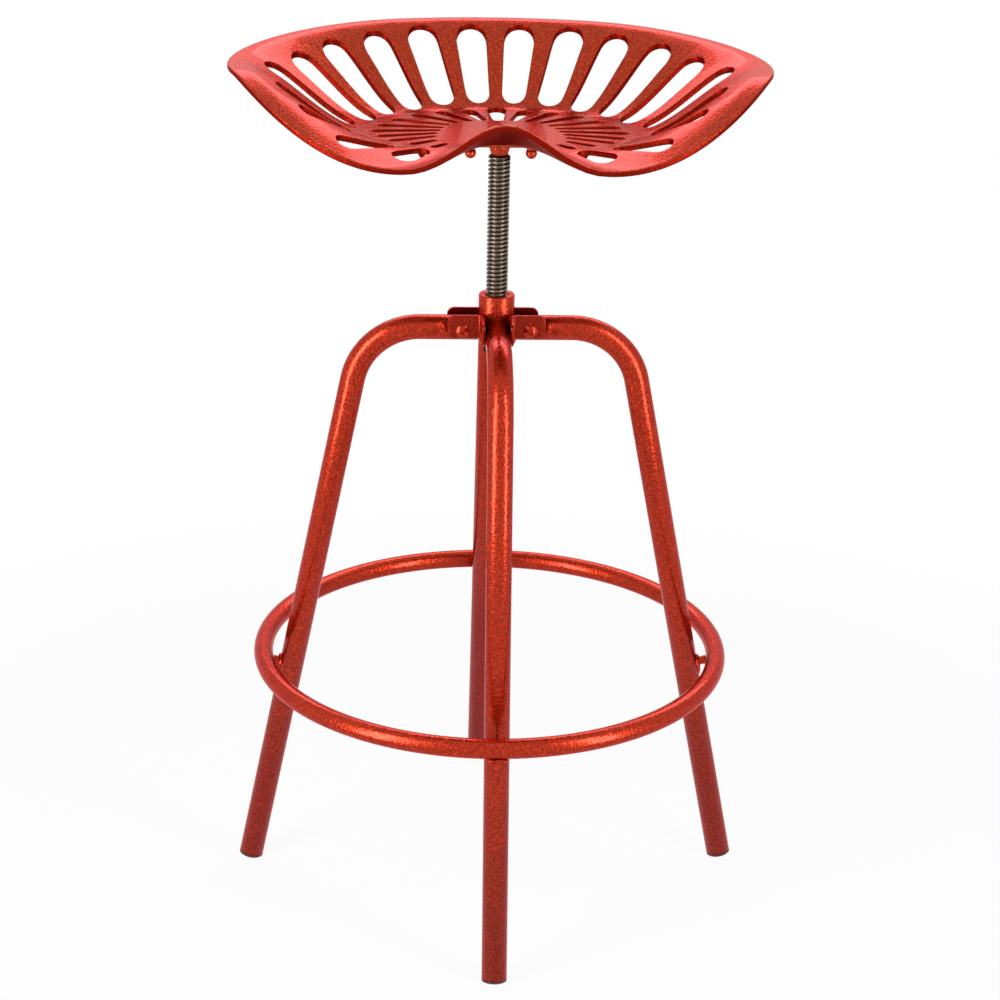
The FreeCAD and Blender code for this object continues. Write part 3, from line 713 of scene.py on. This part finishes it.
def puddle(bm, place, sizes):
    """One flattened drop of weld, its sizes along the bar, along Y and along the leg."""
    along_leg = Matrix((outward, Vector((0, 1, 0)), -down)).transposed().to_4x4()
    matrix = Matrix.Translation(place) @ along_leg @ Matrix.Diagonal((*sizes, 1))
    bmesh.ops.create_icosphere(bm, subdivisions=3, radius=1.0, matrix=matrix)


for drop, reach, wide, tall in LEG_PUDDLES:
    puddle(beads, root + outward * (TUBE_R + reach) + down * drop, (LEG_PUDDLE_DEPTH, wide, tall))
for side in (-1, 1):
    for shift, size in RING_PUDDLES:
        place = under_ring - down * RING_PUDDLE_RISE + Vector((0, side * (BAR_R + shift), 0))
        puddle(beads, place + outward * (shift - RING_PUDDLE_BACK),
               (size, size * RING_PUDDLE_WIDE, size * RING_PUDDLE_TALL))
print("one leg's beads", len(beads.faces), "faces")

# %% The same beads at every leg
all_beads = bmesh.new()
for turn in TURNS.values():
    mesh = bpy.data.meshes.new("one_leg_beads")
    beads.to_mesh(mesh)
    mesh.transform(Matrix.Rotation(math.radians(turn), 4, "Z"))
    all_beads.from_mesh(mesh)
    bpy.data.meshes.remove(mesh)
beads.free()
bmesh.ops.recalc_face_normals(all_beads, faces=all_beads.faces)
ring_beads = finished(all_beads, "ring_beads", "frame", "frame_paint", "ring_welds")
print("all beads", len(ring_beads.data.polygons), "faces")

# %% [markdown]
# ## Hub
#
# The hub is a long round nut with a corner bracket in each quarter, bent from flat strip and bolted
# through the leg ends. A bracket starts as the strip's cross-section, which is extruded along one
# wing, spun round the bend and extruded along the other. Its ends are rounded with a wide bevel, and
# a narrow one softens every edge, so that the strip shows the fine line of light along its outline.
# Its flat sides are darkened with painted shade, most of all the inner ones, which lie against the
# legs. The nut is a closed outline spun round the screw, with a wide mouth at the top.

# %% A bracket
STRIP_IN, STRIP_THICK = 0.0128, 0.003
STRIP_BOTTOM, STRIP_TOP = 0.6005, 0.624
STRIP_BEND, STRIP_BEND_STEPS = 0.003, 8
WING_ROUND, WING_ROUND_STEPS = 0.007, 9
STRIP_EDGE, STRIP_EDGE_STEPS = 0.0006, 2
SHARP_ANGLE = math.radians(32)
SAME_HEIGHT = 0.0001
INNER_SHADE, OUTER_SHADE = 1.0, 0.5
FLAT_SIDE = 0.9
bend_at = STRIP_IN + STRIP_BEND + STRIP_THICK


def sharp_edges(bm):
    return [e for e in bm.edges if len(e.link_faces) == 2 and e.calc_face_angle() > SHARP_ANGLE]


def bracket(first_reach, second_reach, turn):
    """A bracket whose first wing lies along X and second along Y, turned about Z at the end."""
    bm = bmesh.new()
    middle = (first_reach, STRIP_IN + STRIP_THICK / 2, (STRIP_BOTTOM + STRIP_TOP) / 2)
    size = Matrix.Diagonal((STRIP_TOP - STRIP_BOTTOM, STRIP_THICK, 1, 1))
    matrix = Matrix.Translation(middle) @ Matrix.Rotation(math.pi / 2, 4, "Y") @ size
    bmesh.ops.create_grid(bm, x_segments=1, y_segments=1, size=0.5, matrix=matrix)
    bmesh.ops.delete(bm, geom=bm.faces[:], context="FACES_ONLY")
    first = bm.edges[:]
    loop = new_edges(bm, first, Vector((bend_at - first_reach, 0, 0)))
    loop = spun(bm, loop, (bend_at, bend_at, 0), (0, 0, -1), math.pi / 2, STRIP_BEND_STEPS)
    loop = new_edges(bm, loop, Vector((0, second_reach - bend_at, 0)))
    for edges in (first, loop):
        bmesh.ops.contextual_create(bm, geom=edges)
    across = [e for e in first + loop if abs(e.verts[0].co.z - e.verts[1].co.z) < SAME_HEIGHT]
    rounded(bm, across, WING_ROUND, WING_ROUND_STEPS)
    bmesh.ops.recalc_face_normals(bm, faces=bm.faces)
    rounded(bm, sharp_edges(bm), STRIP_EDGE, STRIP_EDGE_STEPS)
    bm.normal_update()
    # Painted shade on the flat sides, strongest on the inner ones.
    shade = bm.faces.layers.float.new(SHADE_ATTRIBUTE)
    for face in bm.faces:
        facing = face.normal.x + face.normal.y
        face[shade] = INNER_SHADE if facing < -FLAT_SIDE else OUTER_SHADE if facing > FLAT_SIDE else 0.0
    bmesh.ops.rotate(bm, matrix=Matrix.Rotation(math.radians(turn), 3, "Z"), verts=bm.verts)
    return bm


print("strip", round(STRIP_TOP - STRIP_BOTTOM, 4), "wide, its bend ends at", round(bend_at, 4))

# %% The four brackets
WING_REACH, SHORT_REACH = 0.0495, 0.0435
QUARTERS = {"back_right": 0, "back_left": 90, "front_left": 180, "front_right": 270}

for name, turn in QUARTERS.items():
    first_reach = SHORT_REACH if name == "back_right" else WING_REACH
    strip = finished(bracket(first_reach, WING_REACH, turn), "strip_" + name, "frame",
                     "frame_paint", "bracket_" + name)
print("a strip has", len(strip.data.polygons), "faces")

# %% The long nut
NUT_R, NUT_TOP, NUT_LENGTH = 0.0182, 0.643, 0.051
NUT_BORE, NUT_MOUTH = 0.0113, 0.0130
NUT_ROUND, NUT_ROUND_STEPS = 0.0021, 4
NUT_STEPS = 64
AT_SKIN = 0.0001

nut = bmesh.new()
nut_bottom = NUT_TOP - NUT_LENGTH
outline = [(NUT_BORE, nut_bottom), (NUT_R, nut_bottom), (NUT_R, NUT_TOP), (NUT_MOUTH, NUT_TOP),
           (NUT_BORE, NUT_TOP - (NUT_MOUTH - NUT_BORE))]
row_of(nut, [Vector((r, 0, z)) for r, z in outline], True)
whole_turn(nut, (0, 0, 0), (0, 0, 1), NUT_STEPS)
bmesh.ops.recalc_face_normals(nut, faces=nut.faces)
nut_rims = [e for e in sharp_edges(nut) if e.verts[0].co.xy.length > NUT_R - AT_SKIN]
rounded(nut, nut_rims, NUT_ROUND, NUT_ROUND_STEPS)
long_nut = finished(nut, "long_nut", "frame", "frame_paint", "hub_nut")
print("nut", len(long_nut.data.polygons), "faces")

# %% [markdown]
# ## Smooth skins for small turned pieces
#
# The screw, the neck, the bolts, the dome heads, the washers, the welds of the hub, the plugs and
# the short bars keep the shape of their solids. Those arrive as loose triangles, so each gets a copy
# whose triangles are joined. Its faces are shaded smooth, except across edges that are sharp on the
# real piece.

# %% Joined copies of the small pieces
COPY_JOIN = 0.000002
CREASE = math.radians(28)
SMALL = {
    "seat": ["neck", "seat_screws", "seat_washers", "stop_screw", "threaded_screw"],
    "lift": ["stop_washer"],
    "frame": ["hub_bolts", "hub_bolt_nuts", "hub_welds"]
             + [kind + name for name in TURNS for kind in ("ring_bar_", "foot_plug_")],
}
slot_of = {entry["node"]: entry["material_slot"] for entry in frame["record"]["subparts"]}


def joined_copy(node, body):
    bm = bmesh.new()
    bm.from_mesh(bpy.data.objects[node].data)
    bmesh.ops.transform(bm, matrix=bpy.data.objects[node].matrix_world, verts=bm.verts)
    bmesh.ops.remove_doubles(bm, verts=bm.verts, dist=COPY_JOIN)
    bmesh.ops.recalc_face_normals(bm, faces=bm.faces)
    for edge in bm.edges:
        edge.smooth = len(edge.link_faces) == 2 and edge.calc_face_angle() < CREASE
    return finished(bm, "smooth_" + node, body, slot_of[node], node)


small_pieces = [joined_copy(node, body) for body, nodes in SMALL.items() for node in nodes]
print("joined", len(small_pieces), "pieces, loose edges",
      sum(1 for p in small_pieces for e in p.data.edges if e.is_loose))

# %% [markdown]
# ## Paint and steel
#
# The stool wears a glossy hammered enamel: a red skin with shallow dimples about two millimetres wide.
# The dimples are smooth Voronoi cells with a little noise, made once as a group that gives a height and
# a mask of the hollows, which the paint darkens as painted shade, and each paint sets its own scale.
# The gloss stays in the material's own shader.

# %% The hammered skin as a group
CELLS_PER_METRE = 260.0
CELL_SMOOTHNESS = 0.8
GRAIN_SCALE, GRAIN_DETAIL, GRAIN_SHARE = 1.7, 2.0, 0.25
HOLLOW_GAIN = 1.4


def new_group(name, inputs, outputs):
    group = bpy.data.node_groups.new(name, "ShaderNodeTree")
    for label, kind, value in inputs:
        socket = group.interface.new_socket(name=label, in_out="INPUT", socket_type=kind)
        if value is not None:
            socket.default_value = value
    for label, kind in outputs:
        group.interface.new_socket(name=label, in_out="OUTPUT", socket_type=kind)
    return group, group.nodes.new("NodeGroupInput"), group.nodes.new("NodeGroupOutput")


def math_node(tree, operation, a, b, clamp=False):
    node = tree.nodes.new("ShaderNodeMath")
    node.operation = operation
    node.use_clamp = clamp
    for socket, value in zip(node.inputs, (a, b)):
        if isinstance(value, (int, float)):
            socket.default_value = value
        else:
            tree.links.new(value, socket)
    return node.outputs[0]


hammered, given, put_out = new_group(
    "hammered_skin",
    [("Vector", "NodeSocketVector", None), ("Cells per metre", "NodeSocketFloat", CELLS_PER_METRE),
     ("Fine grain", "NodeSocketFloat", GRAIN_SHARE)],
    [("Height", "NodeSocketFloat"), ("Hollows", "NodeSocketFloat")])
cells = hammered.nodes.new("ShaderNodeTexVoronoi")
cells.feature = "SMOOTH_F1"
cells.inputs["Smoothness"].default_value = CELL_SMOOTHNESS
grain = hammered.nodes.new("ShaderNodeTexNoise")
grain.inputs["Detail"].default_value = GRAIN_DETAIL
cell_scale, from_middle = given.outputs["Cells per metre"], cells.outputs["Distance"]
grain_scale = math_node(hammered, "MULTIPLY", cell_scale, GRAIN_SCALE)
for texture, scale in ((cells, cell_scale), (grain, grain_scale)):
    hammered.links.new(given.outputs["Vector"], texture.inputs["Vector"])
    hammered.links.new(scale, texture.inputs["Scale"])
grain_part = math_node(hammered, "MULTIPLY", grain.outputs["Fac"], given.outputs["Fine grain"])
hammered.links.new(math_node(hammered, "ADD", from_middle, grain_part), put_out.inputs["Height"])
# The mask of the hollows, where the paint lays painted shade.
rise = math_node(hammered, "MULTIPLY", from_middle, HOLLOW_GAIN)
hollows = math_node(hammered, "SUBTRACT", 1.0, rise, True)
hammered.links.new(hollows, put_out.inputs["Hollows"])
print("group", hammered.name, "with", len(hammered.nodes), "nodes")

# %% [markdown]
# ## The red enamel
#
# Both enamels are the same paint: small metal flakes in a deep red, darkened in the hollows of its
# dimples as painted shade, under a clear coat. The flakes mirror the lamps in red and the clear coat
# mirrors them nearly white, so the two shares decide how pale a streak of light looks. The casting's
# dimples are a little wider and deeper than the tubes'. Where the number of painted shade is high, on
# the walls of the slots, the underside of the casting and the flat sides of the brackets, the colour
# turns darker as painted shade and the coat is dull.

# %% Helpers for materials
def new_material(name):
    material = bpy.data.materials.new(name)
    material.use_nodes = True
    shader = material.node_tree.nodes["Principled BSDF"]
    coordinates = material.node_tree.nodes.new("ShaderNodeTexCoord")
    return material, material.node_tree, shader, coordinates.outputs["Object"]


def set_plain(shader, values):
    """Values that are the same all over the surface."""
    for label, value in values.items():
        shader.inputs[label].default_value = value


def colour_mix(tree, factor, first, second):
    mix = tree.nodes.new("ShaderNodeMix")
    mix.data_type = "RGBA"
    tree.links.new(factor, mix.inputs["Factor"])
    for socket, value in ((mix.inputs["A"], first), (mix.inputs["B"], second)):
        if isinstance(value, tuple):
            socket.default_value = value
        else:
            tree.links.new(value, socket)
    return mix.outputs["Result"]


def bump(tree, height, distance):
    node = tree.nodes.new("ShaderNodeBump")
    node.inputs["Strength"].default_value = 1.0
    node.inputs["Distance"].default_value = distance
    tree.links.new(height, node.inputs["Height"])
    return node.outputs["Normal"]


print("helpers new_material, set_plain, colour_mix and bump")

# %% Red enamel for the casting and for the tubes
FLAKE_ROUGHNESS = 0.24
SHADE_EXTRA = 0.2
GLOSS_LEVEL, GLOSS_TINT = 0.25, (1.0, 0.30, 0.20, 1)
CLEAR_ROUGHNESS = 0.07


def enamel(name, bright, hollow_shade, shade, cells_per_metre, dimple, flake, gloss):
    """Hammered paint from its colour on bumps and its darker colours of painted shade in the hollows
    and on faces marked for shade.
    """
    material, tree, shader, where = new_material(name)
    skin = tree.nodes.new("ShaderNodeGroup")
    skin.node_tree = hammered
    skin.inputs["Cells per metre"].default_value = cells_per_metre
    tree.links.new(where, skin.inputs["Vector"])
    # Painted shade: the hollows of the dimples take the darker colour.
    unshaded_colour = colour_mix(tree, skin.outputs["Hollows"], bright, hollow_shade)
    shade_node = tree.nodes.new("ShaderNodeAttribute")
    shade_node.attribute_name = SHADE_ATTRIBUTE
    # Painted shade: where the shade number is high the colour turns to the darker shade colour.
    colour = colour_mix(tree, shade_node.outputs["Fac"], unshaded_colour, shade)
    for label, unshaded_value, change in (("Roughness", FLAKE_ROUGHNESS, SHADE_EXTRA),
                                 ("Metallic", flake, SHADE_EXTRA), ("Coat Weight", gloss, -gloss)):
        part = math_node(tree, "MULTIPLY", shade_node.outputs["Fac"], change)
        tree.links.new(math_node(tree, "ADD", part, unshaded_value), shader.inputs[label])
    tree.links.new(colour, shader.inputs["Base Color"])
    tree.links.new(bump(tree, skin.outputs["Height"], dimple), shader.inputs["Normal"])
    set_plain(shader, {"Specular IOR Level": GLOSS_LEVEL, "Specular Tint": GLOSS_TINT,
                       "Coat Roughness": CLEAR_ROUGHNESS})
    return material


# For each enamel: the colour on bumps, the painted shade in hollows and the painted shade on upright
# and downward faces.
seat_enamel = enamel("seat_enamel", (0.50, 0.048, 0.014, 1), (0.20, 0.010, 0.003, 1),
                     (0.18, 0.006, 0.002, 1), cells_per_metre=440.0, dimple=0.0004, flake=0.7,
                     gloss=0.15)
tube_enamel = enamel("tube_enamel", (0.50, 0.034, 0.008, 1), (0.16, 0.005, 0.002, 1),
                     (0.08, 0.002, 0.001, 1), cells_per_metre=480.0, dimple=0.0003, flake=0.75,
                     gloss=0.2)
print("enamels", seat_enamel.name, tube_enamel.name)

# %% [markdown]
# ## Thread, black steel and plastic
#
# The screw is dark oiled steel whose crests are painted lighter in patches, a painted highlight for the
# glints they catch. The crests are the part farthest from the screw's axis, so a mask can be worked out
# from the distance to the Z axis. The stop under the hub is blackened steel, and the feet have plugs of
# matt black plastic.

# %% Steel and plastic
CREST_RADIUS, CREST_DEPTH = 0.0109, 0.0006
CREST_GAIN = 2200.0
OILED_DARK, OILED_BROWN = (0.018, 0.012, 0.008, 1), (0.060, 0.040, 0.028, 1)
CREST_GLINT = (0.26, 0.205, 0.155, 1)
BLACKED, BLACKED_WORN = (0.006, 0.005, 0.005, 1), (0.014, 0.012, 0.011, 1)
PLASTIC, PLASTIC_GREY = (0.012, 0.012, 0.012, 1), (0.03, 0.03, 0.03, 1)
PLASTIC_DIMPLE = 0.0001
NOISE_DETAIL = 3.0


def axis_distance(tree, where):
    split = tree.nodes.new("ShaderNodeSeparateXYZ")
    tree.links.new(where, split.inputs[0])
    squares = [math_node(tree, "MULTIPLY", split.outputs[k], split.outputs[k]) for k in (0, 1)]
    return math_node(tree, "SQRT", math_node(tree, "ADD", squares[0], squares[1]), 0.0)


def noise(tree, where, per_metre):
    node = tree.nodes.new("ShaderNodeTexNoise")
    node.inputs["Scale"].default_value = per_metre
    node.inputs["Detail"].default_value = NOISE_DETAIL
    tree.links.new(where, node.inputs["Vector"])
    return node.outputs["Fac"]


def thread_steel():
    material, tree, shader, where = new_material("thread_steel")
    out = math_node(tree, "SUBTRACT", axis_distance(tree, where), CREST_RADIUS - CREST_DEPTH)
    crest = math_node(tree, "MULTIPLY", out, CREST_GAIN, True)
    # Painted highlight: the crests are painted lighter in patches.
    glint = math_node(tree, "MULTIPLY", crest, noise(tree, where, per_metre=180.0), True)
    dark = colour_mix(tree, noise(tree, where, per_metre=90.0), OILED_DARK, OILED_BROWN)
    tree.links.new(colour_mix(tree, glint, dark, CREST_GLINT), shader.inputs["Base Color"])
    set_plain(shader, {"Metallic": 0.85, "Roughness": 0.38})
    return material


def black_steel():
    material, tree, shader, where = new_material("black_steel")
    colour = colour_mix(tree, noise(tree, where, per_metre=160.0), BLACKED, BLACKED_WORN)
    tree.links.new(colour, shader.inputs["Base Color"])
    set_plain(shader, {"Metallic": 0.2, "Roughness": 0.8, "Specular IOR Level": 0.1})
    return material


def black_plastic():
    material, tree, shader, where = new_material("black_plastic")
    colour = colour_mix(tree, noise(tree, where, per_metre=400.0), PLASTIC, PLASTIC_GREY)
    tree.links.new(colour, shader.inputs["Base Color"])
    grained = bump(tree, noise(tree, where, per_metre=900.0), PLASTIC_DIMPLE)
    tree.links.new(grained, shader.inputs["Normal"])
    set_plain(shader, {"Roughness": 0.55})
    return material


by_slot = {"seat_paint": seat_enamel, "frame_paint": tube_enamel, "screw_steel": thread_steel(),
           "plain_steel": black_steel(), "foot_plastic": black_plastic()}
print("materials", sorted(m.name for m in by_slot.values()))

# %% Every piece gets its finish
def paint(piece, material):
    piece.data.materials.clear()
    piece.data.materials.append(material)


for name, slot_name in slot_of.items():
    for slot in bpy.data.objects[name].material_slots:
        slot.material = by_slot[slot_name]
for piece, slot_name in dressed:
    paint(piece, by_slot[slot_name])
print("painted", len(slot_of), "solids and", len(dressed), "new pieces")

# %% [markdown]
# ## Floor and room
#
# The photograph is a catalogue picture on white. The floor is pale and matt and keeps the stool's
# shadow, and it glows a little more with every step away from the stool, until it is as white as
# the room behind it. Both are white for the camera and in what the paint mirrors, while the soft
# light that the room itself sheds on the stool stays dim, so that the lamps shape it.

# %% The pale floor
FLOOR_REACH = 6
FLOOR_GREY = (0.86, 0.86, 0.86, 1)
FLOOR_GLOW = 0.93
GLOW_STARTS = 0.7
GLOW_GROWS = 0.18


def background_rays(tree):
    """One for rays that see the white background: from the camera, off gloss and through glass."""
    path = tree.nodes.new("ShaderNodeLightPath")
    seen = math_node(tree, "ADD", path.outputs["Is Camera Ray"], path.outputs["Is Glossy Ray"], True)
    return math_node(tree, "ADD", seen, path.outputs["Is Transmission Ray"], True)


def mixed_shaders(tree, first, second, output):
    """Two shaders blended into a tree's output, and the socket for the second one's share."""
    blend = tree.nodes.new("ShaderNodeMixShader")
    tree.links.new(first.outputs[0], blend.inputs[1])
    tree.links.new(second.outputs[0], blend.inputs[2])
    tree.links.new(blend.outputs[0], tree.nodes[output].inputs["Surface"])
    return blend.inputs["Fac"]


floor_mesh = bmesh.new()
bmesh.ops.create_grid(floor_mesh, x_segments=1, y_segments=1, size=FLOOR_REACH)
mesh = bpy.data.meshes.new("floor")
floor_mesh.to_mesh(mesh)
floor_mesh.free()
floor = bpy.data.objects.new("floor", mesh)
bpy.context.scene.collection.objects.link(floor)

material, tree, shader, where = new_material("pale_floor")
set_plain(shader, {"Base Color": FLOOR_GREY, "Roughness": 0.9, "Specular IOR Level": 0.1})
away = math_node(tree, "SUBTRACT", axis_distance(tree, where), GLOW_STARTS)
growth = math_node(tree, "MULTIPLY", math_node(tree, "MAXIMUM", away, 0.0), GLOW_GROWS)
glow_share = math_node(tree, "ADD", growth, FLOOR_GLOW, True)
glow = tree.nodes.new("ShaderNodeEmission")
tree.links.new(math_node(tree, "MULTIPLY", background_rays(tree), glow_share),
               mixed_shaders(tree, shader, glow, "Material Output"))
paint(floor, material)
print("floor", 2 * FLOOR_REACH, "m wide")

# %% The white room
ROOM_LIGHT = 0.10
WHITE = (1, 1, 1, 1)

world = bpy.data.worlds.new("studio")
bpy.context.scene.world = world
world.use_nodes = True
room = world.node_tree
dim = room.nodes["Background"]
white = room.nodes.new("ShaderNodeBackground")
set_plain(dim, {"Color": WHITE, "Strength": ROOM_LIGHT})
set_plain(white, {"Color": WHITE, "Strength": 1.0})
room.links.new(background_rays(room), mixed_shaders(room, dim, white, "World Output"))
bpy.context.scene.view_settings.view_transform = "Standard"
print("room light", ROOM_LIGHT)

# %% [markdown]
# ## Lamps
#
# Soft lamps are rectangles, and a glossy tube mirrors each as a streak. Two tall strips stand close
# in front, one on either side, and make the pair of bright streaks on the tubes. A larger, fainter
# box stands farther off behind the left strip, a little nearer to the camera's side of it, and a
# wide box hangs behind the stool, where the rim and the flange of the seat mirror it.

# %% Two strips and two boxes
# Place, aim, width, height and watts of each lamp.
LAMPS = {
    "left_strip": ((-1.19, -0.93, 0.92), (0, -0.19, 0.92), 0.4, 1.8, 23),
    "right_strip": ((1.12, -1.03, 0.92), (0, -0.19, 0.92), 0.35, 1.8, 20),
    "left_box": ((-1.75, -1.9, 1.2), (0, 0, 1.0), 0.7, 2.3, 18),
    "top_box": ((0.3, 2.2, 2.3), (0, 0, 0.87), 3.2, 1.0, 36),
}

for name, (place, aim, width, height, watts) in LAMPS.items():
    data = bpy.data.lights.new(name, "AREA")
    data.shape = "RECTANGLE"
    data.size = width
    data.size_y = height
    data.energy = watts
    lamp = bpy.data.objects.new(name, data)
    lamp.location = place
    lamp.rotation_euler = (Vector(aim) - Vector(place)).to_track_quat("-Z", "Y").to_euler()
    bpy.context.scene.collection.objects.link(lamp)
print("lamps", len(LAMPS), "with", sum(lamp[-1] for lamp in LAMPS.values()), "watts")
